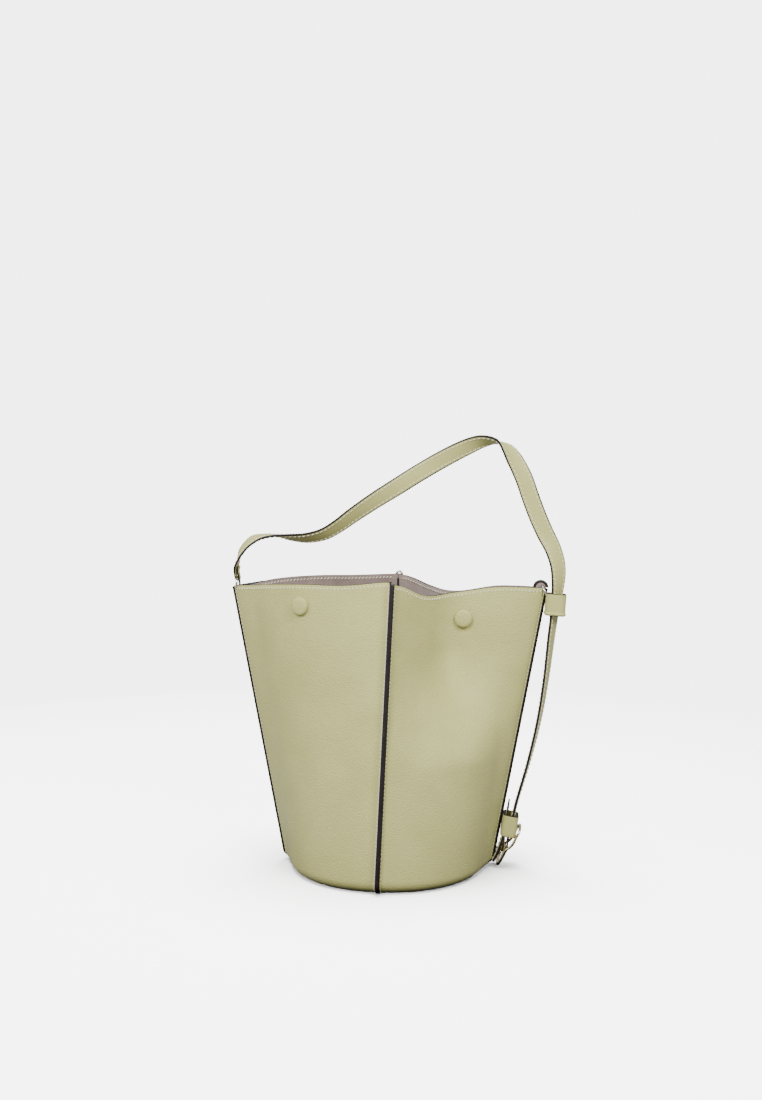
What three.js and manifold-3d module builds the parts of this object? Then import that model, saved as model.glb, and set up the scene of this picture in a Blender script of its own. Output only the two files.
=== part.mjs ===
// Leather bucket bag: four panels joined by raised seams, a round base, covered magnetic snaps,
// and a shoulder strap that hangs from a ring on the left and buckles down at the right.
// Millimetres, +Z up, front towards -Y. The origin is the centre of the base, on the ground.
import * as THREE from 'three';
import { mergeVertices } from 'three/addons/utils/BufferGeometryUtils.js';
import Module from 'manifold-3d';

const wasm = await Module();
wasm.setup();

// ---- driving dimensions -------------------------------------------------------------------
const GAP = 0.3;                 // between touching pieces
const LEATHER = 2.2;             // outer panels
const LINING = 1.0;
const LINING_TOP = 0.994;         // share of the wall's height that the lining reaches
const BASE_RADIUS = 88;          // outer face of the panels at the base
const BASE_ROUND = 9;            // rounding where the panels turn under the base
const RIM_HALF_WIDTH = 134;      // side seams at the rim, at the root of their raised edges
const RIM_HALF_DEPTH = 62;       // front and back seams at the rim
const SEAM_PROUD = 7;            // how far a raised seam stands out
const SEAM_LEAN = { front: 10, back: 4 };   // the top of each seam leans to the right
const HALF_SEAM = LEATHER + GAP / 2;       // one layer of a raised seam, from its middle plane
const RING = { radius: 6.2, wire: 1.0 };   // strap rings, to the middle of the wire
const BACK_RING = { radius: 3.6, wire: 0.7, seat: 0.4 };   // seat: how low it sits in its hole
const SWING_HEIGHT = 252.2;      // the handle swings about this height

// Half of the mouth in plan, from a side seam to the front or back seam: open, and snapped shut.
const OPEN_RIM = [[134, 0], [116, 19], [95, 34], [72, 45], [45, 54], [20, 59.5]];
const SHUT_RIM = [
  [134, 0], [127, 4.5], [110, 7.5], [90, 6.6], [80, 5.75], [69, 5.7], [58, 5.7], [48, 11.4],
  [33, 33], [18, 51],
];
// Rim height from the side seam to the front or back seam, at equal steps.
const RIM_HEIGHT = {
  front_left: [250, 253, 254.5, 254.5, 258],
  back_left: [250, 255, 257, 257, 258],
  front_right: [250, 251, 246, 244.5, 256],
  back_right: [250, 251, 246, 250, 258],
};
// The top of the right seam rises into an ear that carries the ring.
const EAR_HEIGHT = { root: 257, tip: 254.5, shoulder: 251.5, reach: 0.1 };
const RIM_EDGE = 0.4;              // the same top row's height away from the ear
const COLUMNS = [0, 0.045, 0.14, 0.27, 0.37, 0.44, 0.52, 0.62, 0.76, 0.9, 1];
const ROWS = [0, 0.2, 0.4, 0.55, 0.7, 0.82, 0.92, 1];
const UNDER_ANGLES = [70, 40];         // rounding at the bottom, in degrees from vertical
const SHUT_FROM = 0.38;                    // share of the height where the closed snap starts to pull
const SHUT_AT = 0.8;

// Handle route: x, z, twist in degrees, width and thickness. A twist of 0 lays the width front to
// back; a positive twist turns the front edge outwards.
const HANDLE_ROUTE = [
  [-135.3, 264, 0, 7, 1.6], [-135.2, 260.2, 0, 6, 1.6], [-135.6, 256.9, 0, 6, 1.6],
  [-137.4, 255.4, 0, 6, 1.6], [-139.2, 256.9, 0, 6, 1.6], [-139.6, 260.2, 4, 7, 1.6],
  [-139.2, 266, 4, 11, 1.8], [-137.6, 273, -8, 15, 2.4], [-134, 282, -26, 16, 2.5],
  [-125, 291.5, -30, 16, 2.5], [-115, 295, -14, 16, 2.5], [-103, 296, 0, 16, 2.5],
  [-89, 294.5, 20, 16, 2.5], [-74, 294, 33, 16, 2.5], [-58, 297.5, 42, 16, 2.5],
  [-44, 305.5, 48, 16, 2.5], [-33, 313.5, 55, 16, 2.5], [-13, 327, 67, 16, 2.5],
  [8, 340, 80, 16, 2.5], [29, 353, 88, 16, 2.5], [50, 365, 80, 16, 2.5], [70, 375, 65, 16, 2.5],
  [84, 380, 42, 16, 2.5], [97, 380, 8, 16, 2.5], [106, 374, -38, 16, 2.5],
  [113, 364, -66, 16, 2.5], [121, 348, -84, 16, 2.5], [127, 331, -90, 16, 2.5],
  [133, 315, -88, 16, 2.5], [140, 299, -80, 16, 2.5], [147, 285, -68, 16, 2.5],
  [151, 272, -52, 16, 2.5], [152, 262, -42, 16, 2.5], [151.9, 257, -38, 16, 2.5],
];
// The same strap below the swing line, down to its fold round the buckle's bar.
const ADJUSTER_ROUTE = [
  [151.3, 248.2, -34, 16, 2.5], [149.6, 236, -29, 16, 2.5], [148, 222, -26, 16, 2.5],
  [146, 207, -24, 16, 2.5], [141.5, 169, -18, 16, 2.5], [135.5, 132, -14, 16, 2.5],
  [127, 96, -10, 16, 2.5], [116.6, 60, -6, 16, 2.5], [113.4, 47, -4, 16, 2.5],
  [109.9, 34, 0, 16, 2.5], [108.4, 25, 0, 15, 2], [107.9, 19.5, 0, 15, 1.6],
  [107.7, 16, 0, 15, 1.6], [106.9, 14.6, 0, 15, 1.6], [105.5, 14.1, 0, 15, 1.6],
  [104.1, 14.6, 0, 15, 1.6], [103.3, 16, 0, 15, 1.6], [103.7, 19, 0, 15, 1.6],
  [105.2, 24.5, 0, 15, 1.6],
];
const BILLET_ROUTE = [
  [95.2, 5.2, 0, 13, 1.8], [98.4, 11, 0, 14, 1.8], [100.6, 16.5, 0, 14, 1.8],
  [102.2, 21.5, 0, 14, 1.8], [104.2, 28, 0, 14, 1.8], [106, 38, 0, 14, 1.8],
  [107.2, 46, 0, 14, 1.8], [108.6, 54, 0, 13, 1.8], [109.2, 58, 0, 8, 1.6], [109.6, 60.5, 0, 2, 1.4],
];
const UPPER_KEEPER = { x: 149.4, z: 235.6, height: 19.5, halfX: 9, halfY: 10.3, wall: 1.8, tilt: 4 };
const LOWER_KEEPER = { x: 109.7, z: 37.8, height: 19.5, halfX: 7, halfY: 10.3, wall: 1.8, tilt: 9 };
const BUCKLE_BAR = { x: 105.5, z: 16.5, radius: 1.1 };
const BUCKLE_PROFILE = [[100.6, 5.8], [105.5, 16.5], [110, 19.6], [113.4, 24], [116, 29.5], [117.9, 33]];
const BUCKLE_ENDS = { low: [99.4, 3.4], high: [119, 35.6] };
const BUCKLE_HALF_WIDTH = 11;

// ---- colours ------------------------------------------------------------------------------
const material = (color, roughness, metalness = 0) =>
  new THREE.MeshStandardMaterial({ color, roughness, metalness });
const LEATHER_GREEN = material(0xbfbc90, 0.6);
const LINING_MAUVE = material(0x8f7d76, 0.9);
const METAL_GOLD = material(0xe2cf9a, 0.25, 1);
const BOARD_GREY = material(0x8d8a80, 0.95);

// ---- building blocks ----------------------------------------------------------------------
// A closed body from points and triangles, with its faces turned outwards.
function body(points, faces) {
  let volume = 0;
  for (let i = 0; i < faces.length; i += 3) {
    const [a, b, c] = [points[faces[i]], points[faces[i + 1]], points[faces[i + 2]]];
    volume += a.dot(new THREE.Vector3().crossVectors(b, c));
  }
  if (volume < 0) {
    faces.reverse();
  }
  const geometry = new THREE.BufferGeometry().setFromPoints(points);
  geometry.setIndex(faces);
  return geometry;
}

// A sheet between two matching grids of points.
function sheet(outside, inside) {
  const rows = outside.length;
  const columns = outside[0].length;
  const half = rows * columns;
  const faces = [];
  const quad = (a, b, c, d) => faces.push(a, b, c, a, c, d);
  for (let r = 0; r < rows - 1; r++) {
    for (let c = 0; c < columns - 1; c++) {
      const a = r * columns + c;
      quad(a, a + 1, a + columns + 1, a + columns);
      quad(half + a, half + a + columns, half + a + columns + 1, half + a + 1);
    }
    const first = r * columns;
    const last = first + columns - 1;
    quad(first, first + columns, half + first + columns, half + first);
    quad(last, half + last, half + last + columns, last + columns);
  }
  for (let c = 0; c < columns - 1; c++) {
    const top = (rows - 1) * columns + c;
    quad(c, half + c, half + c + 1, c + 1);
    quad(top, top + 1, half + top + 1, half + top);
  }
  return body([...outside.flat(), ...inside.flat()], faces);
}

// A solid through matching closed sections, capped at both ends unless it closes on itself.
function loft(sections, closed = false) {
  const sides = sections[0].length;
  const count = sections.length;
  const faces = [];
  const spans = closed ? count : count - 1;
  for (let i = 0; i < spans; i++) {
    for (let k = 0; k < sides; k++) {
      const a = i * sides + k;
      const b = i * sides + (k + 1) % sides;
      const c = ((i + 1) % count) * sides + (k + 1) % sides;
      const d = ((i + 1) % count) * sides + k;
      faces.push(a, b, c, a, c, d);
    }
  }
  if (!closed) {
    const end = (count - 1) * sides;
    for (let k = 1; k < sides - 1; k++) {
      faces.push(0, k + 1, k, end, end + k, end + k + 1);
    }
  }
  return body(sections.flat(), faces);
}

// A flat strap along a route in the XZ plane, with its twist, width and thickness.
function strap(route, steps) {
  const path = new THREE.CatmullRomCurve3(route.map(([x, z]) => new THREE.Vector3(x, 0, z)));
  const make = new THREE.CatmullRomCurve3(route.map((p) => new THREE.Vector3(p[2], p[3], p[4])));
  const sections = [];
  for (let i = 0; i <= steps; i++) {
    const t = i / steps;
    const centre = path.getPoint(t);
    const { x: twist, y: width, z: thick } = make.getPoint(t);
    const along = path.getTangent(t);
    const outward = new THREE.Vector3(-along.z, 0, along.x);
    const turn = THREE.MathUtils.degToRad(twist);
    const across = new THREE.Vector3(0, -Math.cos(turn), 0).addScaledVector(outward, Math.sin(turn));
    const face = new THREE.Vector3().crossVectors(along, across).normalize();
    const corner = (w, f) => centre.clone()
      .addScaledVector(across, w * width / 2).addScaledVector(face, f * thick / 2);
    sections.push([corner(-1, -1), corner(1, -1), corner(1, 1), corner(-1, 1)]);
  }
  return loft(sections);
}

// A round rod along a list of points, open or closed on itself.
function rod(points, radius, steps, sides = 8, closed = false) {
  const path = new THREE.CatmullRomCurve3(points, closed, 'centripetal');
  const sections = [];
  const count = closed ? steps : steps + 1;
  for (let i = 0; i < count; i++) {
    const t = i / steps;
    const centre = path.getPointAt(t);
    const along = path.getTangentAt(t);
    const guide = Math.abs(along.y) > 0.7 ? new THREE.Vector3(1, 0, 0) : new THREE.Vector3(0, 1, 0);
    const u = new THREE.Vector3().crossVectors(along, guide).normalize();
    const v = new THREE.Vector3().crossVectors(along, u);
    const section = [];
    for (let k = 0; k < sides; k++) {
      const a = k * 2 * Math.PI / sides;
      section.push(centre.clone().addScaledVector(u, radius * Math.cos(a))
        .addScaledVector(v, radius * Math.sin(a)));
    }
    sections.push(section);
  }
  return loft(sections, closed);
}

function toSolid(geometry) {
  const bare = geometry.clone();
  bare.deleteAttribute('normal');
  bare.deleteAttribute('uv');
  const merged = mergeVertices(bare, 1e-4);
  return new wasm.Manifold(new wasm.Mesh({
    numProp: 3,
    vertProperties: new Float32Array(merged.attributes.position.array),
    triVerts: new Uint32Array(merged.index.array),
  }));
}

function fromSolid(solid) {
  const mesh = solid.getMesh();
  const geometry = new THREE.BufferGeometry();
  geometry.setAttribute('position', new THREE.BufferAttribute(mesh.vertProperties, 3));
  geometry.setIndex([...mesh.triVerts]);
  return geometry;
}

const cut = (geometry, ...cutters) => fromSolid(
  cutters.reduce((solid, cutter) => solid.subtract(toSolid(cutter)), toSolid(geometry)));
const join = (a, b) => fromSolid(toSolid(a).add(toSolid(b)));

// A turned solid from a profile of radius and height, its axis along +Z.
const turned = (profile, segments = 14) => new THREE.LatheGeometry(
  profile.map(([r, h]) => new THREE.Vector2(r, h)), segments).rotateX(Math.PI / 2);

// ---- the wall of the bag ------------------------------------------------------------------
const curveThrough = (points) => new THREE.CatmullRomCurve3(
  points.map(([x, y]) => new THREE.Vector3(x, y, 0)));

// One quarter of the wall. Its own plan runs from the side seam (u = 0) to the front or back seam
// (u = 1), with x towards the side and y towards the front or back.
function quarter(name) {
  const [end, side] = name.split('_');
  const signX = side === 'left' ? -1 : 1;
  const signY = end === 'front' ? -1 : 1;
  const lean = signX * SEAM_LEAN[end];
  const open = curveThrough([...OPEN_RIM, [lean, RIM_HALF_DEPTH]]);
  const shut = curveThrough([...SHUT_RIM, [lean, RIM_HALF_DEPTH]]);
  const heights = new THREE.SplineCurve(RIM_HEIGHT[name].map((z, i) => new THREE.Vector2(i / 4, z)));

  // Outer face in plan at share s of the height.
  function plan(u, s) {
    const turn = u * Math.PI / 2;
    const foot = new THREE.Vector2(BASE_RADIUS * Math.cos(turn), BASE_RADIUS * Math.sin(turn));
    const rim = open.getPointAt(u);
    const point = new THREE.Vector2(rim.x, rim.y).sub(foot).multiplyScalar(s).add(foot);
    if (side === 'right') {
      const pulled = shut.getPointAt(u);
      const sideX = THREE.MathUtils.lerp(BASE_RADIUS, RIM_HALF_WIDTH, s);
      const endY = THREE.MathUtils.lerp(BASE_RADIUS, RIM_HALF_DEPTH, s);
      const leanHere = lean * s;
      const reach = (sideX - leanHere) / (RIM_HALF_WIDTH - lean);
      const snapped = new THREE.Vector2(
        leanHere + (pulled.x - lean) * reach, pulled.y * endY / RIM_HALF_DEPTH);
      point.lerp(snapped, THREE.MathUtils.smoothstep(s, SHUT_FROM, SHUT_AT));
    }
    return point.add(new THREE.Vector2(HALF_SEAM * u, HALF_SEAM * (1 - u)));
  }

  function rimHeight(u) {
    return heights.getPoint(u).y;
  }

  // A row of the wall, moved inwards. The two ends stay on their seam's side.
  function row(s, inset, seamInset) {
    const points = COLUMNS.map((u) => plan(u, s));
    const ways = [new THREE.Vector2(-1, 0)];
    for (let i = 1; i < points.length; i++) {
      ways.push(points[i].clone().sub(points[i - 1]).normalize());
    }
    ways.push(new THREE.Vector2(0, 1));
    const inwards = ways.map((way) => new THREE.Vector2(-way.y, way.x));
    const last = points.length - 1;
    return points.map((point, i) => {
      const [n, m] = [inwards[i], inwards[i + 1]];
      const dn = i === 0 ? seamInset : inset;
      const dm = i === last ? seamInset : inset;
      const det = n.x * m.y - n.y * m.x;
      if (dn === dm || Math.abs(det) < 1e-6) {
        return n.clone().add(m).multiplyScalar(inset / (1 + n.dot(m))).add(point);
      }
      return new THREE.Vector2((dn * m.y - dm * n.y) / det, (dm * n.x - dn * m.x) / det).add(point);
    });
  }

  const place = (p, z) => new THREE.Vector3(signX * p.x, signY * p.y, z);

  // One face of the leather, with its raised edges turned out at both seams.
  function leatherFace(depth) {
    const seamInset = depth > 0 ? LEATHER : 0;
    const grid = [];
    // The outer face's inset sets where the seams' tips are, so both faces share them.
    const addRow = (s, inset, outerInset, proud, height, tipHeight) => {
      const points = row(s, inset, seamInset);
      const outer = row(s, outerInset, 0);
      const sideTip = new THREE.Vector2(outer[0].x + proud, HALF_SEAM - seamInset);
      const endTip = new THREE.Vector2(
        plan(1, s).x - seamInset, outer[outer.length - 1].y + proud);
      grid.push([
        place(sideTip, tipHeight(0)),
        ...points.map((p, i) => place(p, height(COLUMNS[i]))),
        place(endTip, tipHeight(1)),
      ]);
    };
    for (const degrees of UNDER_ANGLES) {
      const a = THREE.MathUtils.degToRad(degrees);
      const round = BASE_ROUND - depth;
      addRow(0, BASE_ROUND - round * Math.cos(a), BASE_ROUND * (1 - Math.cos(a)),
        SEAM_PROUD * Math.cos(a), () => BASE_ROUND - round * Math.sin(a),
        () => BASE_ROUND * (1 - Math.sin(a)));
    }
    for (const s of ROWS) {
      const height = (u) => THREE.MathUtils.lerp(BASE_ROUND, rimHeight(u), s);
      addRow(s, depth, 0, SEAM_PROUD, height, height);
    }
    if (side === 'right') {
      const ear = (u) => {
        if (u > EAR_HEIGHT.reach) {
          return rimHeight(u) + RIM_EDGE;
        }
        return u === 0 ? EAR_HEIGHT.root : EAR_HEIGHT.shoulder;
      };
      addRow(1, depth, 0, SEAM_PROUD, ear, (u) => (u === 0 ? EAR_HEIGHT.tip : ear(u)));
    }
    return grid;
  }

  function liningFace(depth) {
    return ROWS.map((s) => {
      const share = Math.min(s, LINING_TOP);
      return row(share, depth, LEATHER).map((p, i) =>
        place(p, THREE.MathUtils.lerp(BASE_ROUND, rimHeight(COLUMNS[i]), share)));
    });
  }

  // A point of the outer face and the direction straight out of it.
  function spot(u, s) {
    const at = (a, b) => place(plan(a, b), THREE.MathUtils.lerp(BASE_ROUND, rimHeight(a), b));
    const point = at(u, s);
    const alongU = at(u + 0.02, s).sub(at(u - 0.02, s));
    const alongS = at(u, s + 0.02).sub(at(u, s - 0.02));
    const out = alongU.cross(alongS).normalize();
    if (out.y * signY < 0) {
      out.negate();
    }
    return { point, out };
  }
  return { name, signX, signY, side, leatherFace, liningFace, spot };
}

// ---- assembly -----------------------------------------------------------------------------
const bag = new THREE.Group();

function add(name, geometry, look, parent = bag) {
  const mesh = new THREE.Mesh(geometry, look);
  mesh.name = name;
  parent.add(mesh);
  return mesh;
}

// A holder whose +Z points along a direction, for turned pieces.
function holder(point, direction) {
  const group = new THREE.Group();
  group.position.copy(point);
  group.quaternion.setFromUnitVectors(new THREE.Vector3(0, 0, 1), direction);
  bag.add(group);
  return group;
}

const SEAM_HOLE = 1.75;
const LEFT_HOLE = { x: -137.4, z: SWING_HEIGHT - RING.radius };
const RIGHT_HOLE = { x: 137.6, z: 252.2 };
const BACK_HOLE = { y: 65.8, z: 255.2, radius: 1.6 };
const HOLE_LENGTH = 12;                    // through both layers of a seam
const holeAcross = ({ x, z }) => new THREE.CylinderGeometry(SEAM_HOLE, SEAM_HOLE, HOLE_LENGTH, 16)
  .translate(x, 0, z);
const backHole = new THREE.CylinderGeometry(BACK_HOLE.radius, BACK_HOLE.radius, HOLE_LENGTH, 12)
  .rotateZ(Math.PI / 2).translate(SEAM_LEAN.back, BACK_HOLE.y, BACK_HOLE.z);

const quarters = ['front_left', 'front_right', 'back_left', 'back_right'].map(quarter);
for (const wall of quarters) {
  const cutters = [holeAcross(wall.side === 'left' ? LEFT_HOLE : RIGHT_HOLE)];
  if (wall.signY > 0) {
    cutters.push(backHole);
  }
  const leather = sheet(wall.leatherFace(0), wall.leatherFace(LEATHER));
  add(`${wall.name}_panel`, cut(leather, ...cutters), LEATHER_GREEN);
  const liningAt = LEATHER + GAP;
  add(`${wall.name}_lining`,
    sheet(wall.liningFace(liningAt), wall.liningFace(liningAt + LINING)), LINING_MAUVE);
}

// Base: leather disc on the ground, stiff board, lining disc.
const disc = (radius, low, high) => new THREE.CylinderGeometry(radius, radius, high - low, 48)
  .rotateX(Math.PI / 2).translate(0, 0, (low + high) / 2);
add('base_panel', disc(80.8, 0, 2.4), LEATHER_GREEN);
add('base_board', disc(80, 2.7, 4.5), BOARD_GREY);
add('base_lining', disc(81.5, 4.8, 5.8), LINING_MAUVE);

// Snaps: a covered cap outside each panel, a magnetic half inside it.
const SNAP_PLACE = { left: { u: 0.49, s: 0.925 }, right: { u: 0.44, s: 0.9 } };
const CAP_COVER = [
  [0, 2.0], [5.6, 1.6], [6.4, 1.1], [6.4, 0], [7.7, 0], [7.7, 1.3], [6.7, 2.5], [4, 3.1], [0, 3.3],
];
const CAP_CORE = [[0, 0], [6.0, 0], [6.0, 0.8], [5.3, 1.25], [0, 1.6]];
const SOCKET = [[0, 0], [8, 0], [8, 2.1], [7.5, 2.6], [3.9, 2.6], [3.9, 1.3], [0, 1.3]];
const STUD = [[0, 0], [8, 0], [8, 2.1], [7.5, 2.6], [3.3, 2.6], [3.3, 3.5], [0, 3.5]];
const CAP_GAP = 0.45;                      // under a cap on a bulging panel
const CLOSED_CAP_GAP = 1.9;                // under a cap in the dimple of the closed snap
const LINING_CLEARANCE = 1.2;              // behind a snap half on a curved lining
const INSIDE_OFFSET = LEATHER + LINING + LINING_CLEARANCE;
const CLOSED_OFFSET = 2.85;                // back of a closed snap half, from the middle plane
const closedAxis = quarters[1].spot(SNAP_PLACE.right.u, SNAP_PLACE.right.s).point;
for (const wall of quarters) {
  const { u, s } = SNAP_PLACE[wall.side];
  const { point, out } = wall.spot(u, s);
  const closed = wall.side === 'right';
  if (closed) {
    point.set(closedAxis.x, point.y, closedAxis.z);
  }
  const outwards = closed ? new THREE.Vector3(0, wall.signY, 0) : out;
  const capGap = closed ? CLOSED_CAP_GAP : CAP_GAP;
  const outside = holder(point.clone().addScaledVector(outwards, capGap), outwards);
  add(`${wall.name}_cap_core`, turned(CAP_CORE), METAL_GOLD, outside);
  add(`${wall.name}_cap_cover`, turned(CAP_COVER), LEATHER_GREEN, outside);
  const inwards = closed ? new THREE.Vector3(0, -wall.signY, 0) : out.clone().negate();
  const start = closed
    ? new THREE.Vector3(point.x, wall.signY * CLOSED_OFFSET, point.z)
    : point.clone().addScaledVector(out, -INSIDE_OFFSET);
  const half = wall.signY < 0 ? SOCKET : STUD;
  add(`${wall.name}_snap_${wall.signY < 0 ? 'socket' : 'stud'}`, turned(half), METAL_GOLD,
    holder(start, inwards));
}

// Rings: each passes through the top of its seam.
const torus = ({ radius, wire }, extra = 0) => new THREE.TorusGeometry(radius, wire + extra, 8, 22);
const RIGHT_RING_TILT = THREE.MathUtils.degToRad(25);
function rightRing(extra) {
  const tilt = RIGHT_RING_TILT;
  return torus(RING, extra).rotateY(Math.PI / 2 - tilt).translate(
    RIGHT_HOLE.x + RING.radius * Math.sin(tilt), 0, RIGHT_HOLE.z - RING.radius * Math.cos(tilt));
}
add('left_ring', torus(RING).rotateY(Math.PI / 2).translate(LEFT_HOLE.x, 0, SWING_HEIGHT),
  METAL_GOLD);
add('right_ring', rightRing(0), METAL_GOLD);
add('back_ring', torus(BACK_RING).rotateX(Math.PI / 2)
  .translate(SEAM_LEAN.back, BACK_HOLE.y, BACK_HOLE.z + BACK_RING.radius - BACK_RING.seat), METAL_GOLD);

// Strap, in two lengths that meet where it bends at the upper keeper.
const TONGUE_SLOT = [12, 5, 10];           // through the fold round the buckle's bar
add('handle_strap', strap(HANDLE_ROUTE, 70), LEATHER_GREEN);
const tongueSlot = new THREE.BoxGeometry(...TONGUE_SLOT).translate(BUCKLE_BAR.x, 0, BUCKLE_BAR.z - 1);
add('adjuster_strap', cut(strap(ADJUSTER_ROUTE, 44), tongueSlot), LEATHER_GREEN);
add('billet_tab', strap(BILLET_ROUTE, 22), LEATHER_GREEN);

// Keepers: oval leather sleeves round the strap.
function sleeve({ x, z, height, halfX, halfY, wall, tilt }) {
  const squared = (hx, hy) => {
    const outline = new THREE.Shape();
    const corner = Math.min(hx, hy) * 0.55;
    outline.moveTo(hx, -hy + corner);
    outline.lineTo(hx, hy - corner);
    outline.quadraticCurveTo(hx, hy, hx - corner, hy);
    outline.lineTo(-hx + corner, hy);
    outline.quadraticCurveTo(-hx, hy, -hx, hy - corner);
    outline.lineTo(-hx, -hy + corner);
    outline.quadraticCurveTo(-hx, -hy, -hx + corner, -hy);
    outline.lineTo(hx - corner, -hy);
    outline.quadraticCurveTo(hx, -hy, hx, -hy + corner);
    return outline;
  };
  const ring = squared(halfX, halfY);
  ring.holes.push(squared(halfX - wall, halfY - wall));
  return new THREE.ExtrudeGeometry(ring, { depth: height, bevelEnabled: false, curveSegments: 4 })
    .translate(0, 0, -height / 2).rotateY(THREE.MathUtils.degToRad(tilt)).translate(x, 0, z);
}
add('upper_keeper', cut(sleeve(UPPER_KEEPER), rightRing(GAP + 0.1)), LEATHER_GREEN);
add('lower_keeper', sleeve(LOWER_KEEPER), LEATHER_GREEN);

// Buckle: a curved frame with a bar across its middle, and a tongue on the bar.
const rail = (y) => BUCKLE_PROFILE.map(([x, z]) => new THREE.Vector3(x, y, z));
const END_HALF = BUCKLE_HALF_WIDTH * 0.6;  // half the straight part of each end
const FRAME_WIRE = 1.2;
const buckleEnd = ([x, z], y) => new THREE.Vector3(x, y, z);
const frameLoop = [
  ...rail(-BUCKLE_HALF_WIDTH),
  buckleEnd(BUCKLE_ENDS.high, -END_HALF), buckleEnd(BUCKLE_ENDS.high, END_HALF),
  ...rail(BUCKLE_HALF_WIDTH).reverse(),
  buckleEnd(BUCKLE_ENDS.low, END_HALF), buckleEnd(BUCKLE_ENDS.low, -END_HALF),
];
const bar = new THREE.CylinderGeometry(
  BUCKLE_BAR.radius, BUCKLE_BAR.radius, 2 * BUCKLE_HALF_WIDTH - 0.4, 12)
  .translate(BUCKLE_BAR.x, 0, BUCKLE_BAR.z);
add('buckle_frame', join(rod(frameLoop, FRAME_WIRE, 48, 6, true), bar), METAL_GOLD);

const TONGUE_WIRE = 0.8;
const tongueEye = new THREE.TorusGeometry(BUCKLE_BAR.radius + GAP + TONGUE_WIRE, TONGUE_WIRE, 8, 20)
  .rotateX(Math.PI / 2).translate(BUCKLE_BAR.x, 0, BUCKLE_BAR.z);
const prong = rod([[107.4, 15.6], [106, 11], [103.6, 6.2], [101.7, 2.6]]
  .map(([x, z]) => new THREE.Vector3(x, 0, z)), TONGUE_WIRE, 10);
add('buckle_tongue', join(tongueEye, prong), METAL_GOLD);

export default bag;
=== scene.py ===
"""The bucket bag's looks: pebbled leather panels, stitched seams, strap and gold hardware."""
import math

import bpy
import numpy as np
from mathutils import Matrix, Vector


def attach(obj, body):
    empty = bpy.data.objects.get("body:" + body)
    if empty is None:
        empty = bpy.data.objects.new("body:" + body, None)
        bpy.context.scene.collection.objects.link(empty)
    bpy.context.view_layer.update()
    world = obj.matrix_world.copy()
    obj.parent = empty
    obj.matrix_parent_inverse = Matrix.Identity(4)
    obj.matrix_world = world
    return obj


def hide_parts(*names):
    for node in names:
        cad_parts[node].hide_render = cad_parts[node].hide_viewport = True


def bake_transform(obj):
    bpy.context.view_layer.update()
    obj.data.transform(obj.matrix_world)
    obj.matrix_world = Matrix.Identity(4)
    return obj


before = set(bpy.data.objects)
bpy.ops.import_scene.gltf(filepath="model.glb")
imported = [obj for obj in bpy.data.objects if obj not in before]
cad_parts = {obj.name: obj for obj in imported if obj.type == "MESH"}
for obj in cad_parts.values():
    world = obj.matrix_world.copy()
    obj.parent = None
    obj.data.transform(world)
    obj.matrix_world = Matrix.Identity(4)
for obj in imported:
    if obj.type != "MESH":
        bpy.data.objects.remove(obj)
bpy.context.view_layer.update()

MM = 0.001

# ---- the bag's own dimensions, millimetres -------------------------------------------------
LEATHER = 2.2                         # thickness of the wall's leather and of its lining
LINING = 0.7
BASE_RADIUS = 88.0
BASE_ROUND = 9.0
RIM_HALF_WIDTH = 134.0
RIM_HALF_DEPTH = 62.0
SEAM_PROUD = 7.0
SEAM_LEAN = {"front": 10.0, "back": 4.0}    # how far each end seam leans aside at the rim
HALF_SEAM = LEATHER + 0.15            # two leathers meet back to back in a seam
# Half of the mouth in plan, from a side seam towards an end seam, and each rim's five heights.
OPEN_RIM = [(134, 0), (116, 19), (95, 34), (72, 45), (45, 54), (20, 59.5)]
SHUT_RIM = [(134, 0), (127, 5), (110, 8), (90, 7), (80, 6), (69, 6), (59, 8.5), (49, 16),
            (37, 31), (22, 49)]
RIM_HEIGHT = {
    "front_left": (250, 253, 254.5, 254.5, 258),
    "back_left": (250, 255, 257, 257, 258),
    "front_right": (250, 251, 246, 244.5, 256),
    "back_right": (250, 251, 246, 250, 258),
}
EAR = {"x": 136.5, "z": 250.5, "radius": 5.4, "front": 0.6, "back": 2.6, "bead": 1.5}
SHUT_FROM, SHUT_AT = 0.38, 0.8        # shares of the height where the closed side folds in
RING_HEIGHT = 252.2

# Strap routes: x, z, twist in degrees, width, thickness.
HANDLE_ROUTE = [
    (-136.6, 268, 0, 11, 1.6), (-137.2, 264, 0, 9, 1.6), (-136.4, 260, 0, 7, 1.6),
    (-135.8, 257.4, 0, 6, 1.6), (-137.4, 255.4, 0, 6, 1.6), (-139.2, 256.9, 0, 7, 1.6),
    (-139.4, 260.2, 4, 9, 1.8), (-139.0, 266, 4, 14, 2.2), (-137.4, 273, -8, 15.6, 2.4),
    (-134, 282, -26, 16, 2.5),
    (-125, 291.5, -30, 16, 2.5), (-115, 295, -14, 16, 2.5), (-103, 296, 0, 16, 2.5),
    (-89, 294.5, 20, 16, 2.5), (-74, 294, 33, 16, 2.5), (-58, 297.5, 42, 16, 2.5),
    (-44, 305.5, 48, 16, 2.5), (-33, 313.5, 55, 16, 2.5), (-13, 327, 67, 16, 2.5),
    (8, 340, 80, 16, 2.5), (29, 353, 88, 16, 2.5), (50, 365, 80, 16, 2.5), (70, 375, 65, 16, 2.5),
    (84, 380, 42, 16, 2.5), (97, 380, 8, 16, 2.5), (106, 374, -38, 16, 2.5),
    (113, 364, -66, 16, 2.5), (121, 348, -84, 16, 2.5), (127, 331, -90, 16, 2.5),
    (133, 315, -88, 16, 2.5), (140, 299, -80, 16, 2.5), (147, 285, -68, 16, 2.5),
    (151, 272, -60, 16, 2.5), (152, 262, -54, 16, 2.5),
]
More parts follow.
